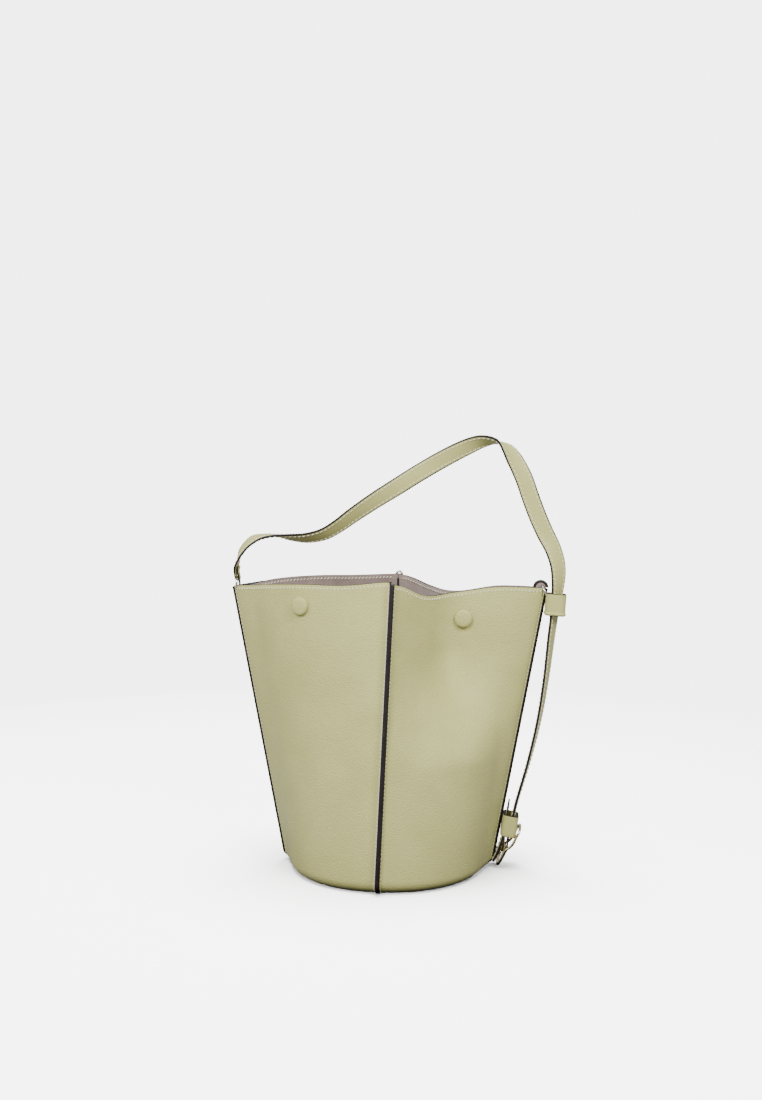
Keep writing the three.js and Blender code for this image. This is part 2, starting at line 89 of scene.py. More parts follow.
ADJUSTER_ROUTE = [
    (151.3, 248.2, -42, 16, 2.5), (149.6, 236, -34, 16, 2.5), (148, 222, -26, 16, 2.5),
    (146, 207, -24, 16, 2.5), (141.5, 169, -18, 16, 2.5), (135.5, 132, -14, 16, 2.5),
    (127, 96, -10, 16, 2.5), (116.6, 60, -6, 16, 2.5), (113.4, 47, -4, 16, 2.5),
    (109.9, 34, 0, 16, 2.5), (108.4, 25, 0, 15, 2), (107.9, 19.5, 0, 15, 1.6),
    (107.7, 16, 0, 15, 1.6), (106.9, 14.6, 0, 15, 1.6), (105.5, 14.1, 0, 15, 1.6),
    (104.1, 14.6, 0, 15, 1.6), (103.3, 16, 0, 15, 1.6), (103.7, 19, 0, 15, 1.6),
    (105.2, 24.5, 0, 15, 1.6),
]
BILLET_ROUTE = [
    (95.2, 5.2, 0, 13, 2.6), (98.4, 11, 0, 14, 2.8), (100.6, 16.5, 0, 14, 2.6),
    (102.2, 21.5, 0, 14, 2.2), (104.2, 28, 0, 14, 1.9), (106, 38, 0, 14, 1.8),
    (107.2, 46, 0, 14, 1.8), (108.6, 54, 0, 12, 1.8), (109.2, 58, 0, 7, 1.6),
    (109.6, 60.5, 0, 2, 1.4),
]


# ---- camera, floor and light ---------------------------------------------------------------
CAMERA_HEIGHT = 0.32
CAMERA_AWAY = 1.0
CAMERA_AZIMUTH = math.radians(6.0)
CAMERA_DOWN = math.radians(2.1)
CAMERA_LEFT = 0.0061


def make_camera():
    data = bpy.data.cameras.new("camera")
    data.lens = 36.4
    data.sensor_width = 36.0
    camera = bpy.data.objects.new("camera", data)
    bpy.context.collection.objects.link(camera)
    right = Vector((math.cos(CAMERA_AZIMUTH), math.sin(CAMERA_AZIMUTH), 0))
    ahead = Vector((-math.sin(CAMERA_AZIMUTH), math.cos(CAMERA_AZIMUTH), 0))
    camera.location = -ahead * CAMERA_AWAY - right * CAMERA_LEFT + Vector((0, 0, CAMERA_HEIGHT))
    look = ahead * math.cos(CAMERA_DOWN) + Vector((0, 0, -math.sin(CAMERA_DOWN)))
    camera.rotation_euler = look.to_track_quat("-Z", "Y").to_euler()
    bpy.context.scene.camera = camera


def area_light(name, place, aim, size, power):
    data = bpy.data.lights.new(name, "AREA")
    data.shape = "DISK"
    data.size = size
    data.energy = power
    light = bpy.data.objects.new(name, data)
    bpy.context.collection.objects.link(light)
    light.location = place
    light.rotation_euler = (Vector(aim) - Vector(place)).to_track_quat("-Z", "Y").to_euler()
    return light


WHITE_SEEN = 5.0       # what the camera sees past the floor
ROOM_LIGHT = 0.5       # soft light from all round
DISC_SIDES = 96
FLOOR_RADIUS = 1.0
SHADE_RADIUS = 0.15    # the shaded floor round the base, which sends no light back up


def stage_disc(name, radius, z, grey):
    """A flat matt disc that is part of the studio and not of the bag."""
    turn = np.arange(DISC_SIDES) * 2 * math.pi / DISC_SIDES
    data = bpy.data.meshes.new(name)
    data.from_pydata([(radius * math.cos(a), radius * math.sin(a), z) for a in turn],
                     [], [tuple(range(DISC_SIDES))])
    disc = bpy.data.objects.new(name, data)
    bpy.context.collection.objects.link(disc)
    look = bpy.data.materials.new(f"{name}_paint")
    look.use_nodes = True
    shader = look.node_tree.nodes["Principled BSDF"]
    shader.inputs["Base Color"].default_value = (grey, grey, grey, 1)
    shader.inputs["Roughness"].default_value = 0.9
    shader.inputs["Specular IOR Level"].default_value = 0.0
    data.materials.append(look)
    return disc


def make_stage():
    """White surroundings, a pale floor lit by a light of its own, and soft lights on the bag."""
    world = bpy.data.worlds.new("studio")
    world.use_nodes = True
    nodes, links = world.node_tree.nodes, world.node_tree.links
    room = nodes["Background"]
    room.inputs["Color"].default_value = (1, 1, 1, 1)
    room.inputs["Strength"].default_value = ROOM_LIGHT
    seen = nodes.new("ShaderNodeBackground")
    seen.inputs["Color"].default_value = (1, 1, 1, 1)
    seen.inputs["Strength"].default_value = WHITE_SEEN
    pick = nodes.new("ShaderNodeMixShader")
    links.new(nodes.new("ShaderNodeLightPath").outputs["Is Camera Ray"], pick.inputs["Fac"])
    links.new(room.outputs[0], pick.inputs[1])
    links.new(seen.outputs[0], pick.inputs[2])
    links.new(pick.outputs[0], nodes["World Output"].inputs["Surface"])
    bpy.context.scene.world = world

    floor = stage_disc("floor", FLOOR_RADIUS, 0, 0.93)
    floor.visible_diffuse = False
    floor.visible_glossy = False
    shade = stage_disc("floor_shade", SHADE_RADIUS, -0.001, 0.02)
    shade.visible_camera = False
    only_floor = bpy.data.collections.new("only_floor")
    only_floor.objects.link(floor)
    area_light("key", (-0.45, -1.5, 1.4), (0, 0, 0.2), 0.9, 38)
    fill = area_light("fill", (0.6, -0.66, 0.85), (0.05, -0.03, 0.22), 0.5, 2)
    fill.data.spread = math.radians(80)
    area_light("side", (-1.3, -0.6, 0.9), (0, 0, 0.15), 0.7, 8)
    area_light("overhead", (-0.1, 0.1, 1.7), (0, 0, 0.1), 1.0, 12)
    wash = area_light("floor_wash", (-0.1, 0.2, 2.4), (0, 0, 0), 1.8, 330)
    wash.light_linking.receiver_collection = only_floor


# ---- node helpers --------------------------------------------------------------------------
class Look:
    """A material and the few node calls that the looks below repeat."""

    def __init__(self, name, roughness, metallic=0.0):
        self.material = bpy.data.materials.new(name)
        self.material.use_nodes = True
        self.nodes = self.material.node_tree.nodes
        self.links = self.material.node_tree.links
        self.shader = self.nodes["Principled BSDF"]
        self.shader.inputs["Roughness"].default_value = roughness
        self.shader.inputs["Metallic"].default_value = metallic
        self.place = self.nodes.new("ShaderNodeTexCoord").outputs["Object"]

    def set(self, **values):
        for name, value in values.items():
            self.shader.inputs[name.replace("_", " ")].default_value = value

    def noise(self, size_mm, detail=3.0, roughness=0.55):
        node = self.nodes.new("ShaderNodeTexNoise")
        node.inputs["Scale"].default_value = 1 / (size_mm * MM)
        node.inputs["Detail"].default_value = detail
        node.inputs["Roughness"].default_value = roughness
        self.links.new(self.place, node.inputs["Vector"])
        return node.outputs["Fac"]

    def cells(self, size_mm, warp):
        node = self.nodes.new("ShaderNodeTexVoronoi")
        node.feature = "SMOOTH_F1"
        node.inputs["Scale"].default_value = 1 / (size_mm * MM)
        node.inputs["Smoothness"].default_value = 0.4
        self.links.new(warp, node.inputs["Vector"])
        return node.outputs["Distance"]

    def warped(self, size_mm, amount_mm):
        """Object coordinates pushed about by noise, so that cells aren't regular."""
        noise = self.nodes.new("ShaderNodeTexNoise")
        noise.inputs["Scale"].default_value = 1 / (size_mm * MM)
        self.links.new(self.place, noise.inputs["Vector"])
        push = self.nodes.new("ShaderNodeVectorMath")
        push.operation = "MULTIPLY_ADD"
        push.inputs[1].default_value = (amount_mm * MM,) * 3
        self.links.new(noise.outputs["Color"], push.inputs[0])
        self.links.new(self.place, push.inputs[2])
        return push.outputs["Vector"]

    def ramp(self, value, low, high, low_at=0.3, high_at=0.7):
        node = self.nodes.new("ShaderNodeValToRGB")
        node.color_ramp.elements[0].position = low_at
        node.color_ramp.elements[0].color = (*low, 1)
        node.color_ramp.elements[1].position = high_at
        node.color_ramp.elements[1].color = (*high, 1)
        self.links.new(value, node.inputs["Fac"])
        return node.outputs["Color"]

    def spread(self, value, low, high):
        node = self.nodes.new("ShaderNodeMapRange")
        node.inputs["To Min"].default_value = low
        node.inputs["To Max"].default_value = high
        self.links.new(value, node.inputs["Value"])
        return node.outputs["Result"]

    def bump(self, height, strength, distance_mm, under=None):
        node = self.nodes.new("ShaderNodeBump")
        node.inputs["Strength"].default_value = strength
        node.inputs["Distance"].default_value = distance_mm * MM
        self.links.new(height, node.inputs["Height"])
        if under:
            self.links.new(under, node.inputs["Normal"])
        return node.outputs["Normal"]

    def wire(self, output, name):
        self.links.new(output, self.shader.inputs[name])


def leather_look(name, low, high, grain_mm=1.0, strength=0.75):
    """Fine pebbled leather: rounded cells over soft creases, with a slow change of colour."""
    look = Look(name, 0.5)
    look.set(Specular_IOR_Level=0.4, Sheen_Weight=0.12, Sheen_Roughness=0.5)
    warp = look.warped(grain_mm * 2.5, grain_mm * 0.9)
    stretch = look.nodes.new("ShaderNodeVectorMath")
    stretch.operation = "MULTIPLY"
    stretch.inputs[1].default_value = (0.75, 0.75, 1.25)
    look.links.new(warp, stretch.inputs[0])
    pebbles = look.cells(grain_mm, stretch.outputs["Vector"])
    creases = look.noise(grain_mm * 5, 5)
    first = look.bump(creases, 0.4, 0.5)
    second = look.bump(look.spread(pebbles, 1.0, 0.0), strength, 0.4, first)
    look.wire(second, "Normal")
    look.wire(look.ramp(look.noise(38, 3), low, high), "Base Color")
    look.wire(look.spread(pebbles, 0.44, 0.6), "Roughness")
    return look.material


def lining_look():
    """Brushed suede-like lining."""
    look = Look("lining_suede", 0.92)
    look.set(Specular_IOR_Level=0.15, Sheen_Weight=0.35, Sheen_Roughness=0.6)
    nap = look.noise(0.7, 6, 0.7)
    look.wire(look.bump(nap, 0.35, 0.15), "Normal")
    look.wire(look.ramp(look.noise(16, 5), (0.195, 0.145, 0.127), (0.29, 0.215, 0.187)), "Base Color")
    look.wire(look.spread(nap, 0.85, 0.98), "Roughness")
    return look.material


def edge_look():
    """Painted leather edge, nearly black, slightly uneven."""
    look = Look("edge_paint", 0.45)
    look.set(Specular_IOR_Level=0.3)
    uneven = look.noise(2.2, 3)
    look.wire(look.bump(uneven, 0.3, 0.2), "Normal")
    look.wire(look.ramp(look.noise(9, 4), (0.006, 0.004, 0.004), (0.016, 0.010, 0.009)), "Base Color")
    look.wire(look.spread(uneven, 0.38, 0.55), "Roughness")
    return look.material


def painted_edge_highlight_look():
    """Painted highlight in a pale cut-fibre colour, beside the paint on the front seam's tip, on its
    light-facing side.
    """
    look = Look("painted_edge_highlight", 0.8)
    fibre = look.noise(0.8, 5, 0.7)
    look.wire(look.bump(fibre, 0.3, 0.15), "Normal")
    look.wire(look.ramp(fibre, (0.46, 0.41, 0.36), (0.60, 0.55, 0.49)), "Base Color")
    return look.material


def thread_look():
    """Waxed cream thread with its twist."""
    look = Look("thread", 0.6)
    look.set(Sheen_Weight=0.2)
    twist = look.nodes.new("ShaderNodeTexWave")
    twist.bands_direction = "DIAGONAL"
    twist.inputs["Scale"].default_value = 900
    twist.inputs["Distortion"].default_value = 1.0
    look.links.new(look.place, twist.inputs["Vector"])
    look.wire(look.bump(twist.outputs["Fac"], 0.4, 0.08), "Normal")
    look.wire(look.ramp(look.noise(6, 3), (0.78, 0.76, 0.52), (0.90, 0.88, 0.66)), "Base Color")
    return look.material


def metal_look(name, low, high):
    """Polished plating with faint handling marks."""
    look = Look(name, 0.16, 1.0)
    marks = look.noise(3.5, 6, 0.7)
    look.wire(look.spread(marks, 0.1, 0.24), "Roughness")
    look.wire(look.bump(look.noise(0.8, 4), 0.05, 0.05), "Normal")
    look.wire(look.ramp(look.noise(12, 2), low, high), "Base Color")
    return look.material


def board_look():
    """Grey pressed-fibre board."""
    look = Look("board_fibre", 0.95)
    fibre = look.noise(1.2, 8, 0.75)
    look.wire(look.bump(fibre, 0.4, 0.2), "Normal")
    look.wire(look.ramp(fibre, (0.24, 0.23, 0.20), (0.36, 0.34, 0.30)), "Base Color")
    return look.material


GREEN_LOW, GREEN_HIGH = (0.430, 0.420, 0.142), (0.485, 0.472, 0.172)


def make_looks():
    return {
        "leather": leather_look("pistachio_leather", GREEN_LOW, GREEN_HIGH),
        "strap": leather_look("strap_leather", GREEN_LOW, GREEN_HIGH, 0.7, 0.4),
        "lining": lining_look(),
        "edge": edge_look(),
        "edge_highlight": painted_edge_highlight_look(),
        "thread": thread_look(),
        "gold": metal_look("pale_gold", (0.83, 0.70, 0.44), (0.93, 0.82, 0.58)),
        "nickel": metal_look("polished_nickel", (0.56, 0.55, 0.53), (0.66, 0.65, 0.62)),
        "board": board_look(),
    }


# ---- mesh helpers --------------------------------------------------------------------------
def face_outwards(data):
    """Turns a closed mesh's faces outwards if its volume comes out negative."""
    data.update()
    data.calc_loop_triangles()
    corners = np.empty(len(data.loop_triangles) * 3, np.int32)
    data.loop_triangles.foreach_get("vertices", corners)
    places = np.empty(len(data.vertices) * 3, np.float32)
    data.vertices.foreach_get("co", places)
    a, b, c = np.moveaxis(places.reshape(-1, 3)[corners.reshape(-1, 3)].astype(float), 1, 0)
    if (a * np.cross(b, c)).sum() < 0:
        data.flip_normals()


def new_piece(name, points, faces, looks, slots=None, smooth_angle=40):
    """A mesh object from points in millimetres. slots gives each face's material number."""
    data = bpy.data.meshes.new(name)
    data.from_pydata((np.asarray(points, float) * MM).tolist(), [], faces)
    for look in looks:
        data.materials.append(look)
    if slots is not None:
        data.polygons.foreach_set("material_index", np.asarray(slots, np.int32))
    face_outwards(data)
    data.shade_smooth()
    if smooth_angle:
        data.set_sharp_from_angle(angle=math.radians(smooth_angle))
    piece = bpy.data.objects.new(name, data)
    bpy.context.collection.objects.link(piece)
    return piece


def ring_faces(count, sides, closed=False, first=0):
    """Quads through `count` sections of `sides` points."""
    faces = []
    for i in range(count if closed else count - 1):
        for k in range(sides):
            a = first + i * sides + k
            b = first + i * sides + (k + 1) % sides
            c = first + ((i + 1) % count) * sides + (k + 1) % sides
            d = first + ((i + 1) % count) * sides + k
            faces.append((a, b, c, d))
    return faces


def spline(points, per_span=24):
    """Centripetal Catmull-Rom curve through points, as many close points."""
    p = np.asarray(points, float)
    p = np.vstack([2 * p[0] - p[1], p, 2 * p[-1] - p[-2]])
    out = []
    t = np.linspace(0, 1, per_span, endpoint=False)[:, None]
    for i in range(1, len(p) - 2):
        p0, p1, p2, p3 = p[i - 1:i + 3]
        d0, d1, d2 = (max(np.linalg.norm(b - a) ** 0.5, 1e-4)
                      for a, b in ((p0, p1), (p1, p2), (p2, p3)))
        m1 = ((p1 - p0) / d0 - (p2 - p0) / (d0 + d1) + (p2 - p1) / d1) * d1
        m2 = ((p2 - p1) / d1 - (p3 - p1) / (d1 + d2) + (p3 - p2) / d2) * d1
        out.append(p1 + m1 * t + (3 * (p2 - p1) - 2 * m1 - m2) * t ** 2
                   + (2 * (p1 - p2) + m1 + m2) * t ** 3)
    out.append(p[-2][None])
    return np.vstack(out)


def lengths(points):
    return np.concatenate([[0], np.cumsum(np.linalg.norm(np.diff(points, axis=0), axis=1))])


def at_share(points, share):
    """Points at shares of a polyline's length."""
    run = lengths(points)
    share = np.asarray(share, float) * run[-1]
    return np.stack([np.interp(share, run, points[:, i]) for i in range(points.shape[1])], -1)


def unit(v):
    return v / np.maximum(np.linalg.norm(v, axis=-1, keepdims=True), 1e-9)


def smoothstep(x, low, high):
    t = np.clip((x - low) / (high - low), 0, 1)
    return t * t * (3 - 2 * t)


THREAD_SIDES = 6
THREAD_RINGS = [(-0.5, 0.35), (-0.36, 0.85), (0.0, 1.0), (0.36, 0.85), (0.5, 0.35)]
THREAD_DROOP = 1.3     # how far a stitch's ends sink, in shares of its radius and length


def capsules(name, centres, along, out, length, radius, look, squash=0.8):
    """Short thread stitches, one capsule each, lying along `along` and raised along `out`."""
    centres, along, out = (np.asarray(a, float) for a in (centres, along, out))
    along = unit(along)
    out = unit(out - along * (out * along).sum(-1, keepdims=True))
    side = np.cross(along, out)
    sides = THREAD_SIDES
    turn = np.arange(sides) * 2 * math.pi / sides
    block = len(THREAD_RINGS) * sides
    sections, faces = [], []
    for reach, girth in THREAD_RINGS:
        droop = -abs(reach) * radius * THREAD_DROOP
        for a in turn:
            sections.append(centres + along * (reach * length)
                            + side * (radius * girth * math.cos(a))
                            + out * (squash * radius * girth * math.sin(a) + droop))
    points = np.stack(sections, 1).reshape(-1, 3)
    pattern = ring_faces(len(THREAD_RINGS), sides)
    pattern.append(tuple(range(sides))[::-1])
    pattern.append(tuple(range(block - sides, block)))
    for i in range(len(centres)):
        faces.extend(tuple(i * block + k for k in face) for face in pattern)
    return new_piece(name, points, faces, [look], smooth_angle=0)


# ---- the wall of the bag -------------------------------------------------------------------
class Quarter:
    """One quarter of the wall. Its own plan runs from the side seam (u = 0) to the front or back
    seam (u = 1), with x towards the side and y towards the front or back."""

    def __init__(self, name):
        self.name = name
        end, self.side = name.split("_")
        self.sign = np.array([-1.0 if self.side == "left" else 1.0, -1.0 if end == "front" else 1.0])
        self.lean = self.sign[0] * SEAM_LEAN[end]
        last = (self.lean, RIM_HALF_DEPTH)
        self.open = spline([*OPEN_RIM, last])
        self.shut = spline([*SHUT_RIM, last])
        self.heights = np.array(RIM_HEIGHT[name], float)

    def plan(self, u, s, radius=BASE_RADIUS):
        """Outer face in plan at share s of the height."""
        u, s = np.broadcast_arrays(np.asarray(u, float), np.asarray(s, float))
        turn = u * math.pi / 2
        foot = np.stack([radius * np.cos(turn), radius * np.sin(turn)], -1)
        point = foot + (at_share(self.open, u) - foot) * s[..., None]
        if self.side == "right":
            pulled = at_share(self.shut, u)
            side_x = radius + (RIM_HALF_WIDTH - radius) * s
            end_y = radius + (RIM_HALF_DEPTH - radius) * s
            here = self.lean * s
            reach = (side_x - here) / (RIM_HALF_WIDTH - self.lean)
            snapped = np.stack([here + (pulled[..., 0] - self.lean) * reach,
                                pulled[..., 1] * end_y / RIM_HALF_DEPTH], -1)
            share = smoothstep(s, SHUT_FROM, SHUT_AT)[..., None]
            point = point + (snapped - point) * share
        return point + HALF_SEAM * np.stack([u, 1 - u], -1)

    def rim_height(self, u):
        """Uniform Catmull-Rom through the five heights."""
        h = self.heights[[0, *range(len(self.heights)), -1]]
        x = np.clip(np.asarray(u, float), 0, 1) * (len(self.heights) - 1)
        i = np.minimum(x.astype(int), len(self.heights) - 2)
        t = x - i
        a, b, c, d = h[i], h[i + 1], h[i + 2], h[i + 3]
        return (b + (c - a) / 2 * t + (a - 2.5 * b + 2 * c - d / 2) * t ** 2
                + (1.5 * (b - c) + (d - a) / 2) * t ** 3)

    def height(self, u, s):
        return BASE_ROUND + (self.rim_height(u) - BASE_ROUND) * s

    def place(self, plan, z):
        return np.concatenate([plan * self.sign, np.asarray(z, float)[..., None]], -1)

    def point(self, u, s):
        return self.place(self.plan(u, s), self.height(u, s))

    def out(self, u, s):
        """Direction straight out of the outer face."""
        step = 0.01
        along = self.point(np.clip(u + step, 0, 1), s) - self.point(np.clip(u - step, 0, 1), s)
        up = self.point(u, np.minimum(s + step, 1.0)) - self.point(u, s - step)
        n = unit(np.cross(along, up))
        flip = np.sign((n[..., :2] * self.point(u, s)[..., :2]).sum(-1, keepdims=True))
        return n * np.where(flip == 0, 1, flip)


PANEL_COLUMNS = 72
FLANGE_STEPS = 4
CORNER_STEPS = 12
SIDE_REACH, END_REACH = 24.0, 7.0     # how far each seam's bend runs into the wall
SIDE_OUT = 5.4                        # the wall rounds out to here before a side seam
SIDE_EXTRA = 1.8                      # a side seam stands this much prouder than a front seam
SIDE_BULGE, SIDE_EASE = 5.0, 11.0     # how long the bend keeps to the seam, and to the wall
TIP_ROUND = 2.6                       # rounding of a raised seam's painted tip


def wall_path(q, s, radius=BASE_RADIUS, proud=SEAM_PROUD):
    """Plan of the leather's outer face at one height, with both raised edges turned out.
    Gives the points and each one's u."""
    u = np.linspace(0, 1, PANEL_COLUMNS + 1)
    wall = q.plan(u, s, radius)
    first, last = wall[0], wall[-1]
    run = lengths(wall)
    stops = np.linspace(SIDE_REACH, run[-1] - END_REACH, PANEL_COLUMNS)
    middle = at_share(wall, stops / run[-1])
    t = np.linspace(0, 1, CORNER_STEPS, endpoint=False)[:, None]

    def bend(a, b, c):
        return (1 - t) ** 2 * a + 2 * t * (1 - t) * b + t ** 2 * c

    straight = proud - min(TIP_ROUND, proud * 0.5)
    side_in, end_in = first + (proud * SIDE_OUT / SEAM_PROUD, 0), last + (0, straight * 0.6)
    side_tip = first + (straight + SIDE_EXTRA * proud / SEAM_PROUD, 0)
    end_tip = last + (0, straight)
    bulge = side_in + (0, SIDE_BULGE)
    ease = middle[0] + unit(middle[0] - middle[1]) * SIDE_EASE
    side_bend = ((1 - t) ** 3 * side_in + 3 * t * (1 - t) ** 2 * bulge
                 + 3 * t ** 2 * (1 - t) * ease + t ** 3 * middle[0])
    f = np.linspace(0, 1, FLANGE_STEPS, endpoint=False)[:, None]
    points = np.vstack([
        side_tip + (side_in - side_tip) * f, side_bend, middle,
        bend(end_in, last, middle[-1])[::-1], end_in + (end_tip - end_in) * (f + 1 / FLANGE_STEPS)])
    turned = FLANGE_STEPS + CORNER_STEPS
    us = np.concatenate([np.zeros(turned), np.interp(stops, run, u), np.ones(turned)])
    bends = np.linspace(0, SIDE_REACH / run[-1], CORNER_STEPS)
    us[FLANGE_STEPS:turned] = bends
    us[-turned:-FLANGE_STEPS] = 1 - (bends * END_REACH / SIDE_REACH)[::-1]
    return points, us


def panel_height(q, s, us):
    """Height of the panel's points."""
    return BASE_ROUND + (q.rim_height(us) - BASE_ROUND) * s


def offset_left(path, distance):
    """The path moved to its left, which is into the bag."""
    way = unit(np.gradient(path, axis=0))
    return path + np.stack([-way[:, 1], way[:, 0]], -1) * distance


UNDER_DEGREES = (78, 66, 54, 42, 30, 20, 10)    # rows round the foot, a seam's tip and the rim
TIP_DEGREES = (20, 45, 68, 90)
RIM_DEGREES = (25, 50, 75, 90)
WALL_ROWS = 92
FOOT_PROUD = 1.2                      # least that a seam stands out under the foot
RIM_RISE, RIM_ROUND = 0.6, 0.7        # the rim's rounding, up and in
TIP_DROP = 1.4                        # a seam's tip rounds down this far at the rim


def leather_panel(q, looks):
    """One outer panel as one closed piece of leather with rounded, painted edges."""
    half = LEATHER / 2
    rows = []
    for degrees in UNDER_DEGREES:
        a = math.radians(degrees)
        rows.append(dict(s=0.0, radius=BASE_RADIUS - BASE_ROUND * (1 - math.cos(a)),
                         proud=max(FOOT_PROUD, SEAM_PROUD * math.cos(a)), out=0.0, painted=False,
                         deep=LEATHER * math.cos(a), z=BASE_ROUND * (1 - math.sin(a)),
                         lift=LEATHER * math.sin(a)))
    for s in np.linspace(0, 1, WALL_ROWS):
        rows.append(dict(s=s, out=0.0, deep=LEATHER, rise=0.0, painted=False))
    for degrees in RIM_DEGREES:
        a = math.radians(degrees)
        shy = half * (1 - math.cos(a)) * RIM_ROUND
        rows.append(dict(s=1.0, out=shy, deep=LEATHER, rise=RIM_RISE * math.sin(a),
                         painted=degrees > RIM_DEGREES[0]))
    sections, slots_by_row = [], []
    for row in rows:
        proud = row.get("proud", SEAM_PROUD)
        path, us = wall_path(q, row["s"], row.get("radius", BASE_RADIUS), proud)
        outer = offset_left(path, row["out"])
        inner = offset_left(path, row["deep"])
        if "z" in row:
            z_out = np.full(len(path), row["z"])
            lift = np.full(len(path), row["lift"])
            lift[:FLANGE_STEPS] = 0
            lift[-FLANGE_STEPS:] = 0
            z_in = z_out + lift
        else:
            z_out = z_in = panel_height(q, row["s"], us) + row["rise"]
        round_tip = min(TIP_ROUND, proud * 0.5)
        side_tip, end_tip = [], []
        for degrees in TIP_DEGREES:
            a = math.radians(degrees)
            reach, across = round_tip * math.sin(a), HALF_SEAM * (1 - math.cos(a))
            side_tip.append(path[0] + (reach, -across))
            end_tip.append(path[-1] + (-across, reach))
        drop = TIP_DROP * np.sin(np.radians(TIP_DEGREES)) * (row["s"] >= 1)
        side_z, end_z = z_out[0] - drop, z_out[-1] - drop
        loop = np.vstack([q.place(outer, z_out), q.place(np.array(end_tip), end_z),
                          q.place(inner, z_in)[::-1], q.place(np.array(side_tip), side_z)[::-1]])
        sections.append(loop)
        n, m = len(path), len(TIP_DEGREES)
        slot = np.zeros(len(loop), int)
        slot[n - 1:n + m] = 1
        slot[2 * n + m - 1:] = 1
        # Painted highlight: a pale strip on the front seam's tip, on the front left panel's side, which
        # faces the light.
        if q.name == "front_left":
            slot[n - 1:n + 1] = 2
        if row["painted"]:
            slot[:] = 1
        slots_by_row.append(slot)
    points = np.vstack(sections)
    sides = len(sections[0])
    faces = ring_faces(len(sections), sides)
    # i[k] is point 2n + m - 1 - k, so each lid runs between the outer and the inner face.
    last = 2 * n + m - 1
    lid = [(k, k + 1, last - k - 1, last - k) for k in range(n - 1)]
    lid += [tuple(range(n - 1, n + m + 1)), (*range(last, sides), 0)]
    top = (len(sections) - 1) * sides
    faces += [tuple(reversed(face)) for face in lid]
    faces += [tuple(top + k for k in face) for face in lid]
    slots = np.concatenate(slots_by_row[1:] + [np.zeros(len(lid)), np.ones(len(lid))])
    return new_piece(f"{q.name}_leather", points, faces,
                     [looks["leather"], looks["edge"], looks["edge_highlight"]], slots, 50)


LINING_ROWS = 60
LINING_BEHIND = 0.05                  # gap between the leather and its lining
LINING_SHY = 0.35                     # gap to the middle of a seam


def lining_panel(q, looks):
    """The suede lining behind one panel, up to its rim, as one closed piece. Its back follows the
    leather, and its face runs straight into the seams."""
    sections, painted = [], []
    near = LEATHER + LINING_BEHIND
    kept = slice(FLANGE_STEPS, -FLANGE_STEPS)
    rows = [(s, 0.0, 0.0) for s in np.linspace(0, 1, LINING_ROWS)]
    rows += [(1.0, 0.3, 0.12), (1.0, 0.55, 0.35)]
    for s, rise, rounding in rows:
        path, us = wall_path(q, s)
        outer = offset_left(path, near)[kept]
        inner = offset_left(q.plan(us[kept], s), near + LINING - rounding)
        middle = q.plan(np.array(1.0), np.array(s))[0] - HALF_SEAM
        for face in (outer, inner):
            face[:, 1] = np.maximum(face[:, 1], LINING_SHY)
            face[:, 0] = np.maximum(face[:, 0], middle + LINING_SHY)
        inner[0, 1], inner[-1, 0] = LINING_SHY, middle + LINING_SHY
        z = panel_height(q, s, us)[kept] + rise
        sections.append(np.vstack([q.place(outer, z), q.place(inner, z)[::-1]]))
        painted.append(1 if rise > 0.4 else 0)
    sides = len(sections[0])
    faces = ring_faces(len(sections), sides)
    slot = [painted[i + 1] for i in range(len(sections) - 1) for _ in range(sides)]
    n = sides // 2
    lid = [(k, k + 1, sides - 2 - k, sides - 1 - k) for k in range(n - 1)]
    first = (len(sections) - 1) * sides
    faces += [tuple(reversed(f)) for f in lid]
    faces += [tuple(first + k for k in f) for f in lid]
    slot += [0] * len(lid) + [1] * len(lid)
    return new_piece(f"{q.name}_suede", np.vstack(sections), faces,
                     [looks["lining"], looks["edge"]], slot, 50)


# Radius of the dark rod of painted shade along the inside of each seam.
SEAM_SHADE_RADIUS = 0.95


def painted_seam_shade(name, quarter, end, looks):
    """A dark rod along the inside of a seam: painted shade in the gap where two linings meet."""
    s = np.linspace(0.01, 0.985, 60)
    u = np.full(len(s), float(end))
    plan = quarter.plan(u, s) - HALF_SEAM * np.stack([u, 1 - u], -1)
    plan = plan - np.stack([1 - u, u], -1) * (LEATHER * 1.2)
    path = quarter.place(plan, quarter.height(u, s))
    return rod_piece(name, path, SEAM_SHADE_RADIUS, looks["edge"], sides=10)


def stitch_row(line, out, pitch, length, slant=14.0, radius=0.38):
    """Evenly spaced stitches along a line on a surface, each slanted within the surface."""
    line, out = np.asarray(line, float), np.asarray(out, float)
    run = lengths(line)
    count = max(2, int(run[-1] / pitch))
    share = (np.arange(count) + 0.5) / count
    spot = at_share(line, share)
    normal = unit(np.stack([np.interp(share * run[-1], run, out[:, i]) for i in range(3)], -1))
    step = 0.002
    way = unit(at_share(line, np.minimum(share + step, 1)) - at_share(line, np.maximum(share - step, 0)))
    across = np.cross(normal, way)
    turn = math.radians(slant)
    along = way * math.cos(turn) + across * math.sin(turn)
    return spot + normal * radius * 0.5, along, normal, length, radius


def painted_hole_shade(name, rows, look):
    """Painted shade where the needle went through, between stitches, as small dark sunk marks."""
    spot, along, normal = (np.vstack([row[i] for row in rows]) for i in range(3))
    ends = spot + along * rows[0][3] * 0.56
    return capsules(name, ends - normal * 0.1, along, normal, HOLE_SHADE_LENGTH, 0.34, look, 0.5)


def stitches(name, rows, look):
    """One piece made of several rows of stitches of the same thread."""
    spot, along, normal = (np.vstack([row[i] for row in rows]) for i in range(3))
    return capsules(name, spot, along, normal, rows[0][3], rows[0][4], look)


STITCH_PITCH = 3.3     # the wall's stitches, and how far they are from the rim and the seams' tips
STITCH_LENGTH = 2.9
STITCH_SLANT = 40.0
RIM_STITCH_DROP = 2.5
FIN_STITCH_IN = 3.7
SIDE_STITCH_IN = 3.4
# length of each dark mark of painted shade at a needle hole
HOLE_SHADE_LENGTH = 0.9


